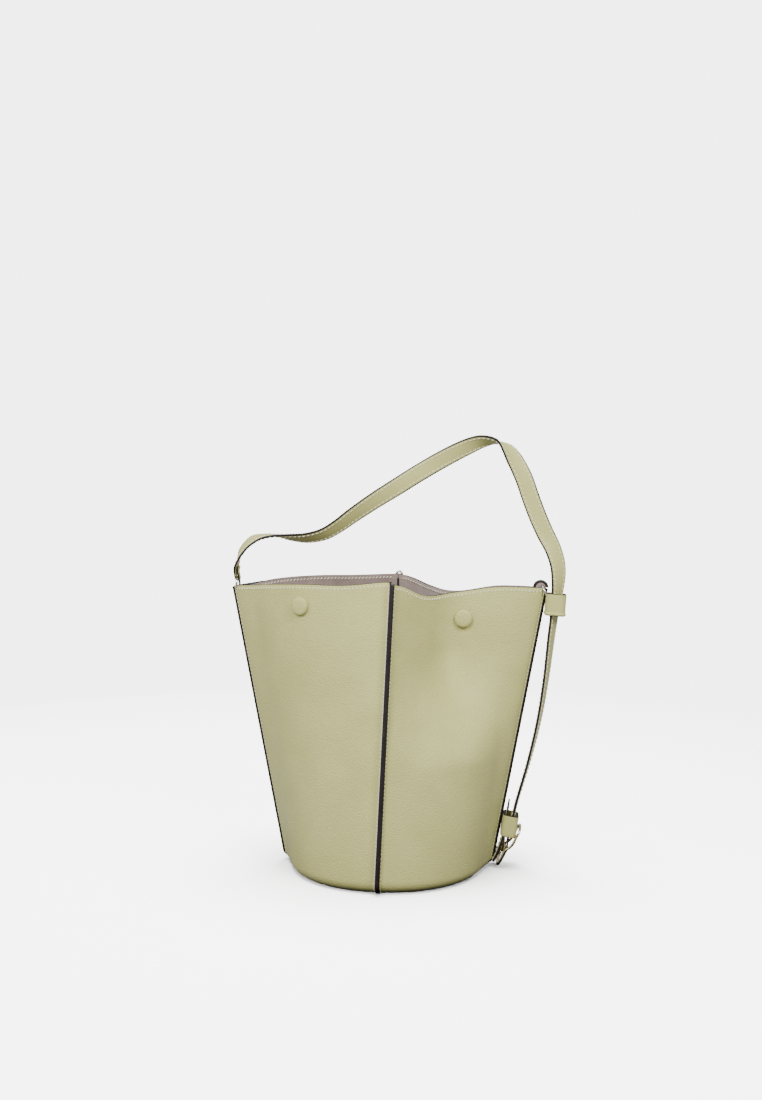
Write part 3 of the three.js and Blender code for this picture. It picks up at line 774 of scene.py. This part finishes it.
def rim_line(q, inset):
    """A line along the rim on the outer face, or behind it by inset, with its directions out."""
    s = 1 - RIM_STITCH_DROP / (q.rim_height(0.5) - BASE_ROUND)
    path, us = wall_path(q, s)
    kept = slice(FLANGE_STEPS + 2, -FLANGE_STEPS - 2)
    way = unit(np.gradient(path, axis=0))
    out = np.stack([way[:, 1], -way[:, 0]], -1)
    plan = (path - out * inset)[kept]
    z = BASE_ROUND + (q.rim_height(us) - BASE_ROUND) * s
    out = q.place(out[kept], np.full(len(plan), -0.18))
    return q.place(plan, z[kept]), unit(out)


def wall_stitches(q, looks):
    """Thread along a panel's rim, both faces, and along the tips of its two raised seams."""
    turned = -q.sign[0] * q.sign[1]
    line, out = rim_line(q, 0.0)
    rows = [stitch_row(line, out, STITCH_PITCH, STITCH_LENGTH, STITCH_SLANT * turned)]
    line, out = rim_line(q, LEATHER + LINING + 0.08)
    rows.append(stitch_row(line, -out, STITCH_PITCH, STITCH_LENGTH, STITCH_SLANT))
    s = np.linspace(0.0, 0.985, 120)
    for end in (0.0, 1.0):
        u = np.full(len(s), end)
        stand = SEAM_PROUD + (-FIN_STITCH_IN if end else SIDE_EXTRA - SIDE_STITCH_IN)
        step = stand * np.array([1 - end, end])
        line = q.place(q.plan(u, s) + step, q.height(u, s))
        out = [q.sign[0] * end, q.sign[1] * (1 - end), 0]
        rows.append(stitch_row(line, np.tile(out, (len(s), 1)), STITCH_PITCH, STITCH_LENGTH, 14))
    # The second piece is the dark marks of painted shade at the stitches' needle holes.
    return (stitches(f"{q.name}_stitches", rows, looks["thread"]),
            painted_hole_shade(f"{q.name}_holes", rows, looks["edge"]))


# ---- straps --------------------------------------------------------------------------------
class Route:
    """A strap's centre line with its width and face directions."""

    def __init__(self, route, per_span=10):
        route = np.asarray(route, float)
        path = spline(route[:, :2], per_span)
        self.centre = np.stack([path[:, 0], np.zeros(len(path)), path[:, 1]], -1)
        make = spline(route[:, 2:], per_span)
        self.width, self.thick = make[:, 1], make[:, 2]
        along = unit(np.gradient(self.centre, axis=0))
        outward = np.stack([-along[:, 2], np.zeros(len(path)), along[:, 0]], -1)
        turn = np.radians(make[:, 0])[:, None]
        self.across = np.array([0, -1.0, 0]) * np.cos(turn) + outward * np.sin(turn)
        self.face = unit(np.cross(along, self.across))

    def at(self, w, f):
        """A line at w millimetres across and f millimetres above the centre."""
        w, f = np.asarray(w, float), np.asarray(f, float)
        return self.centre + self.across * w[..., None] + self.face * f[..., None]


def strap_piece(name, route, looks, crown=0.28, bevel=0.95):
    """A strap with softly crowned faces and rounded, painted edges."""
    profile, slot = [], []
    face_steps = np.linspace(-1, 1, 9)
    for t in face_steps:
        profile.append((t, 1, crown * (1 - t * t)))
        slot.append(0)
    slot[-1] = 1
    for a in (60, 30, 0, -30, -60):
        profile.append((1, math.sin(math.radians(a)), math.cos(math.radians(a))))
        slot.append(1)
    for t in face_steps[::-1]:
        profile.append((t, -1, crown * (1 - t * t)))
        slot.append(0)
    slot[-1] = 1
    for a in (-60, -30, 0, 30, 60):
        profile.append((-1, math.sin(math.radians(a)), math.cos(math.radians(a))))
        slot.append(1)
    half_w, half_t = route.width / 2, route.thick / 2
    lines = []
    for t, level, more in profile:
        if abs(level) == 1:
            w = t * (half_w - half_t * bevel)
            f = level * (half_t - 0.22 + more)
        else:
            w = t * (half_w - half_t * bevel + half_t * bevel * more)
            f = level * (half_t - 0.22)
        lines.append(route.at(w, f * np.ones_like(w)))
    sections = np.stack(lines, 1)
    count, sides = sections.shape[:2]
    faces = ring_faces(count, sides)
    faces += [tuple(range(sides))[::-1], tuple(range((count - 1) * sides, count * sides))]
    slots = slot * (count - 1) + [1, 1]
    return new_piece(name, sections.reshape(-1, 3), faces, [looks["strap"], looks["edge"]], slots, 60)


STRAP_STITCH_IN = 2.7
STRAP_PITCH = 4.1
STRAP_STITCH = 3.1
STRAP_STITCHED_FROM = 15.2     # least width with stitches


def strap_stitches(name, route, looks, first, last):
    """Two rows of thread on each face of a strap, from one of its points to another."""
    rows = []
    part = slice(first, last)
    for side in (-1, 1):
        for level in (1, -1):
            w = side * (route.width / 2 - STRAP_STITCH_IN)
            line = route.at(w, level * (route.thick / 2 + 0.02))[part]
            rows.append(stitch_row(line, (route.face * level)[part], STRAP_PITCH, STRAP_STITCH, 8))
    return stitches(name, rows, looks["thread"])


def make_strap(looks):
    route = Route(HANDLE_ROUTE + ADJUSTER_ROUTE)
    strap = strap_piece("shoulder_strap", route, looks)
    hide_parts("handle_strap", "adjuster_strap")
    wide = np.nonzero(route.width > STRAP_STITCHED_FROM)[0]
    thread = strap_stitches("shoulder_strap_stitches", route, looks, wide[0] + 2, wide[-1] - 2)
    for piece in (strap, thread):
        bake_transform(piece)


BILLET_STITCHED_FROM = 11.5    # least width with stitches
BILLET_STITCHED_TO = 30.0      # greatest height: the lower keeper covers the rest, and slides on it


def make_billet(looks):
    route = Route(BILLET_ROUTE)
    billet = strap_piece("billet", route, looks)
    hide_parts("billet_tab")
    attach(billet, "root")
    bare = (route.width <= BILLET_STITCHED_FROM) | (route.centre[:, 2] >= BILLET_STITCHED_TO)
    wide = np.nonzero(~bare)[0]
    thread = strap_stitches("billet_stitches", route, looks, wide[0], wide[-1])
    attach(thread, "root")


# ---- keepers -------------------------------------------------------------------------------
UPPER_KEEPER = {"x": 149.4, "z": 235.6, "height": 19.5, "half_x": 9.0, "half_y": 10.3, "tilt": 4}
LOWER_KEEPER = {"x": 109.7, "z": 37.8, "height": 19.5, "half_x": 7.0, "half_y": 10.3, "tilt": 9}
KEEPER_WALL = 1.8
KEEPER_CORNER = 0.62           # share of the smaller half size
# A keeper's rounded cut edge, from its face inwards: how far in, and how far from the end.
KEEPER_CUT = [(0.0, 0.55), (0.22, 0.12), (0.75, 0.0)]
# The rolled bead: share of its height, and how far from the keeper's low end.
KEEPER_BEAD = [(0.8, 0.9), (1.0, 1.7), (0.8, 2.5), (0.0, 2.9)]


def rounded_oblong(hx, hy, corner, steps=8):
    """Points round an oblong with round corners, from its half sizes."""
    points = []
    for cx, cy, start in ((hx - corner, hy - corner, 0), (corner - hx, hy - corner, 90),
                          (corner - hx, corner - hy, 180), (hx - corner, corner - hy, 270)):
        for a in np.linspace(start, start + 90, steps):
            points.append((cx + corner * math.cos(math.radians(a)),
                           cy + corner * math.sin(math.radians(a))))
    return np.array(points)


def keeper(name, node, body, size, looks, bead=0.0):
    """A sleeve round the strap, its two cut edges painted, with a rolled bead if there is one."""
    hx, hy, half = size["half_x"], size["half_y"], size["height"] / 2
    tilt = math.radians(size["tilt"])
    corner = min(hx, hy) * KEEPER_CORNER
    wall = KEEPER_WALL
    profile = [(-wall + deep, -half + up) for deep, up in KEEPER_CUT]
    profile += [(-deep, -half + up) for deep, up in KEEPER_CUT[::-1]]
    if bead:
        profile += [(bead * share, -half + up) for share, up in KEEPER_BEAD]
    profile += [(0.0, h) for h in np.linspace(-half + 3.4, half - 1.2, 8)]
    profile += [(-deep, half - down) for deep, down in KEEPER_CUT]
    profile += [(-wall + deep, half - down) for deep, down in KEEPER_CUT[::-1]]
    profile += [(-wall, h) for h in np.linspace(half - 1.2, -half + 1.2, 6)]
    sections = []
    for grow, h in profile:
        oblong = rounded_oblong(hx + grow, hy + grow, corner + grow)
        x = oblong[:, 0] * math.cos(tilt) + h * math.sin(tilt) + size["x"]
        z = -oblong[:, 0] * math.sin(tilt) + h * math.cos(tilt) + size["z"]
        sections.append(np.stack([x, oblong[:, 1], z], -1))
    sides = len(sections[0])
    count = len(profile)
    faces = ring_faces(count, sides, closed=True)
    painted = []
    for i in range(count):
        a, b = profile[i], profile[(i + 1) % count]
        flat = (a[0] + b[0]) / 2 < -0.1 and abs((a[1] + b[1]) / 2) > half - 0.5
        painted += [1 if flat else 0] * sides
    piece = new_piece(name, np.vstack(sections), faces, [looks["strap"], looks["edge"]], painted, 60)
    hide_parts(node)
    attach(piece, body)


# ---- metal ---------------------------------------------------------------------------------
RING_RADIUS, RING_WIRE = 6.2, 1.0
BACK_RING_RADIUS, BACK_RING_WIRE = 2.8, 1.0
RIGHT_HOLE = (137.6, 252.2)
RIGHT_RING_TILT = math.radians(25)
BACK_RING_PLACE = (4.6, 65.8, 257.8)


def rod_piece(name, path, radius, look, sides=14, closed=False):
    """A round rod along points, all in one plane or nearly so."""
    path = np.asarray(path, float)
    count = len(path)
    if closed:
        along = unit(np.roll(path, -1, 0) - np.roll(path, 1, 0))
    else:
        along = unit(np.gradient(path, axis=0))
    guide = np.where(np.abs(along[:, 1:2]) > 0.7, [[1.0, 0, 0]], [[0, 1.0, 0]])
    u = unit(np.cross(along, guide))
    for i in range(1, count):
        u[i] = u[i - 1] - along[i] * np.dot(u[i - 1], along[i])
        u[i] /= np.linalg.norm(u[i])
    v = np.cross(along, u)
    radius = np.broadcast_to(radius, (count,))[:, None]
    turn = np.arange(sides) * 2 * math.pi / sides
    sections = np.stack([path + (u * math.cos(a) + v * math.sin(a)) * radius for a in turn], 1)
    faces = ring_faces(count, sides, closed)
    if not closed:
        faces += [tuple(range(sides))[::-1], tuple(range((count - 1) * sides, count * sides))]
    return new_piece(name, sections.reshape(-1, 3), faces, [look], smooth_angle=50)


def ring_piece(name, node, body, centre, axis, radius, wire, look):
    """A closed metal ring in place of a CAD ring."""
    axis = unit(np.array(axis, float))
    up = np.array([0, 0, 1.0]) if abs(axis[2]) < 0.9 else np.array([1.0, 0, 0])
    a = unit(np.cross(axis, up))
    b = np.cross(axis, a)
    turn = np.linspace(0, 2 * math.pi, 72, endpoint=False)[:, None]
    path = np.array(centre) + (a * np.cos(turn) + b * np.sin(turn)) * radius
    sides = 16
    tube = np.arange(sides) * 2 * math.pi / sides
    outward = a * np.cos(turn) + b * np.sin(turn)
    sections = np.stack([path + (outward * math.cos(t) + axis * math.sin(t)) * wire for t in tube], 1)
    piece = new_piece(name, sections.reshape(-1, 3), ring_faces(len(path), sides, True), [look],
                      smooth_angle=0)
    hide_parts(node)
    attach(piece, body)


def turned_piece(name, profile, place, axis, look, segments=48):
    """A lathe-turned piece: profile of radius and height, its axis along a direction."""
    axis = unit(np.array(axis, float))
    guide = np.array([0, 0, 1.0]) if abs(axis[2]) < 0.9 else np.array([1.0, 0, 0])
    u = unit(np.cross(axis, guide))
    v = np.cross(axis, u)
    turn = np.arange(segments) * 2 * math.pi / segments
    points = []
    inner = [(r, h) for r, h in profile if r > 0]
    for r, h in inner:
        for a in turn:
            points.append(place + axis * h + (u * math.cos(a) + v * math.sin(a)) * r)
    faces = ring_faces(len(inner), segments)
    top = (len(inner) - 1) * segments
    for height, base, order in ((profile[0][1], 0, 1), (profile[-1][1], top, -1)):
        points.append(place + axis * height)
        tip = len(points) - 1
        faces += [(base + (k + 1) % segments, base + k, tip)[::order] for k in range(segments)]
    return new_piece(name, np.array(points), faces, [look], smooth_angle=50)


BUCKLE_BAR = (105.5, 16.5)
BUCKLE_PROFILE = [(100.6, 5.8), (105.5, 16.5), (110, 19.6), (113.4, 24), (116, 29.5), (117.9, 33)]
BUCKLE_ENDS = {"low": (99.4, 3.4), "high": (119, 35.6)}
BUCKLE_HALF_WIDTH = 11.0
BUCKLE_WIRE, BAR_WIRE, EYE_WIRE = 1.2, 1.1, 0.8
EYE_RADIUS = 2.2
TONGUE = [(107.4, 15.6), (106, 11), (103.6, 6.2), (101.7, 2.6)]


def smooth_loop(points, count):
    """A closed centripetal curve through points."""
    p = np.asarray(points, float)
    around = np.vstack([p[-2:], p, p[:3]])
    curve = spline(around, 16)
    inner = curve[2 * 16: (2 + len(p)) * 16 + 1]
    return at_share(inner, np.linspace(0, 1, count, endpoint=False))


def make_buckle(looks):
    half = BUCKLE_HALF_WIDTH
    end = half * 0.6
    rail = [(x, -half, z) for x, z in BUCKLE_PROFILE]
    (lx, lz), (hx, hz) = BUCKLE_ENDS["low"], BUCKLE_ENDS["high"]
    loop = rail + [(hx, -end, hz), (hx, end, hz)] + [(x, half, z) for x, z in BUCKLE_PROFILE][::-1]
    loop += [(lx, end, lz), (lx, -end, lz)]
    frame_piece = rod_piece("buckle", smooth_loop(loop, 120), BUCKLE_WIRE, looks["gold"], closed=True)
    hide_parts("buckle_frame")
    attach(frame_piece, "root")
    x, z = BUCKLE_BAR
    reach = half - 0.6
    bar = rod_piece("buckle_bar", [(x, y, z) for y in np.linspace(-reach, reach, 9)], BAR_WIRE,
                    looks["gold"])
    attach(bar, "root")
    turn = np.linspace(0, 2 * math.pi, 40, endpoint=False)
    eye = [(x + EYE_RADIUS * math.cos(a), 0, z + EYE_RADIUS * math.sin(a)) for a in turn]
    eye_piece = rod_piece("tongue_eye", eye, EYE_WIRE, looks["gold"], closed=True)
    prong_path = spline([(a, 0, b) for a, b in TONGUE], 10)
    girth = np.linspace(0.8, 0.62, len(prong_path))
    girth[-3:] = (0.55, 0.42, 0.2)
    prong = rod_piece("tongue_prong", prong_path, girth, looks["gold"])
    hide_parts("buckle_tongue")
    for piece in (eye_piece, prong):
        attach(piece, "tongue")


SNAP_PLACE = {"left": (0.49, 0.925), "right": (0.44, 0.9)}    # u and share of the height
CAP_GAP, CLOSED_CAP_GAP = 0.45, 1.9   # cap to leather
INSIDE_OFFSET = 4.4                   # back of an open snap half, in from the outer face
CLOSED_OFFSET = 2.85                  # back of a closed snap half, from the middle plane
# Turned profiles, radius and height: the covered cap's dome, and the two snap halves.
CAP_DOME = [(0, 1.7), (5.6, 1.4), (6.4, 0.9), (6.4, 0.0), (7.2, -0.2), (7.7, 0.1), (7.85, 0.9),
            (7.75, 1.8), (7.35, 2.5), (6.6, 2.95), (5.2, 3.25), (2.6, 3.4), (1.0, 3.44), (0, 3.45)]
SNAP_DISC = [(0, 0), (7.6, 0), (7.95, 0.25), (8, 0.6), (8, 1.9), (7.8, 2.35), (7.3, 2.6)]
SOCKET = SNAP_DISC + [(4.3, 2.6), (4.0, 2.5), (3.9, 2.2), (3.9, 1.5), (3.6, 1.3), (0, 1.3)]
STUD = SNAP_DISC + [(3.4, 2.6), (3.3, 2.75), (3.3, 3.2), (3.1, 3.4), (2.7, 3.5), (0, 3.5)]


def make_snaps(quarters, looks):
    middle = quarters["front_right"].point(*[np.array(v) for v in SNAP_PLACE["right"]])
    for q in quarters.values():
        u, s = (np.array(v) for v in SNAP_PLACE[q.side])
        point, out = q.point(u, s), q.out(u, s)
        closed = q.side == "right"
        if closed:
            point = np.array([middle[0], point[1], middle[2]])
            out = np.array([0, q.sign[1], 0])
        gap = CLOSED_CAP_GAP if closed else CAP_GAP
        cap = turned_piece(f"{q.name}_cap", CAP_DOME, point + out * gap, out, looks["leather"])
        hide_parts(f"{q.name}_cap_cover")
        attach(cap, "root")
        kind = "socket" if q.sign[1] < 0 else "stud"
        start = point - out * INSIDE_OFFSET
        if closed:
            start = np.array([point[0], q.sign[1] * CLOSED_OFFSET, point[2]])
        half = turned_piece(f"{q.name}_{kind}", SOCKET if kind == "socket" else STUD, start, -out,
                            looks["gold"])
        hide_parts(f"{q.name}_snap_{kind}")
        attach(half, "root")


BASE_LEATHER = [(0, 0), (79.6, 0), (80.4, 0.3), (80.8, 1.0), (80.8, 1.6), (80.2, 2.4), (0, 2.4)]
BASE_SUEDE = [(0, 4.8), (81.2, 4.8), (81.5, 5.3), (81.2, 5.8), (0, 5.8)]


def make_base(looks):
    low = turned_piece("base_leather", BASE_LEATHER, np.zeros(3), (0, 0, 1), looks["leather"], 160)
    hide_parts("base_panel")
    top = turned_piece("base_suede", BASE_SUEDE, np.zeros(3), (0, 0, 1), looks["lining"], 160)
    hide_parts("base_lining")
    for piece in (low, top):
        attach(piece, "root")


def make_rings(looks):
    ring_piece("left_strap_ring", "left_ring", "left_ring_body", (-137.4, 0, RING_HEIGHT), (1, 0, 0),
               RING_RADIUS, RING_WIRE, looks["nickel"])
    tilt = RIGHT_RING_TILT
    centre = (RIGHT_HOLE[0] + RING_RADIUS * math.sin(tilt), 0, RIGHT_HOLE[1] - RING_RADIUS * math.cos(tilt))
    ring_piece("right_strap_ring", "right_ring", "right_ring_body", centre,
               (math.cos(tilt), 0, math.sin(tilt)), RING_RADIUS, RING_WIRE, looks["nickel"])
    ring_piece("back_seam_ring", "back_ring", "back_ring_body", BACK_RING_PLACE, (0, 1, 0),
               BACK_RING_RADIUS, BACK_RING_WIRE, looks["nickel"])


def make_ear(looks):
    """The small half-round tab above the right side seam, with a dark bead round its edge."""
    turn = np.linspace(math.pi, 0, 25)
    x, z = EAR["x"] + EAR["radius"] * np.cos(turn), EAR["z"] + EAR["radius"] * np.sin(turn)
    arch = np.stack([x, z], -1)
    count = len(arch)
    points = [(a, y, b) for y in (EAR["front"], EAR["back"]) for a, b in arch]
    faces = ring_faces(2, count) + [tuple(range(count))[::-1], tuple(range(count, 2 * count))]
    tab = new_piece("ring_tab", points, faces, [looks["lining"]])
    middle = np.full(count, (EAR["front"] + EAR["back"]) / 2)
    bead = rod_piece("ring_tab_bead", np.stack([x, middle, z], -1), EAR["bead"], looks["edge"])
    for piece in (tab, bead):
        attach(piece, "root")


def dress_hidden_nodes(looks):
    """Looks for the CAD nodes that no piece replaces."""
    for name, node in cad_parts.items():
        if name.endswith("_cap_core"):
            node.data.materials.clear()
            node.data.materials.append(looks["gold"])
        elif name == "base_board":
            node.data.materials.clear()
            node.data.materials.append(looks["board"])


def main():
    make_camera()
    make_stage()
    looks = make_looks()
    quarters = {name: Quarter(name) for name in RIM_HEIGHT}
    # Dark rods of painted shade in the gaps between the linings, along all four seams.
    for name, q, end in (("front_seam_shade", "front_left", 1), ("back_seam_shade", "back_left", 1),
                         ("left_seam_shade", "back_left", 0), ("right_seam_shade", "back_right", 0)):
        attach(painted_seam_shade(name, quarters[q], end, looks), "root")
    for q in quarters.values():
        panel = leather_panel(q, looks)
        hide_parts(f"{q.name}_panel")
        suede = lining_panel(q, looks)
        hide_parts(f"{q.name}_lining")
        for piece in (panel, suede, *wall_stitches(q, looks)):
            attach(piece, "root")
    make_base(looks)
    make_snaps(quarters, looks)
    make_strap(looks)
    make_billet(looks)
    keeper("upper_sleeve", "upper_keeper", "root", UPPER_KEEPER, looks, bead=0.7)
    keeper("lower_sleeve", "lower_keeper", "sliding_keeper", LOWER_KEEPER, looks)
    make_buckle(looks)
    make_rings(looks)
    make_ear(looks)
    dress_hidden_nodes(looks)


main()
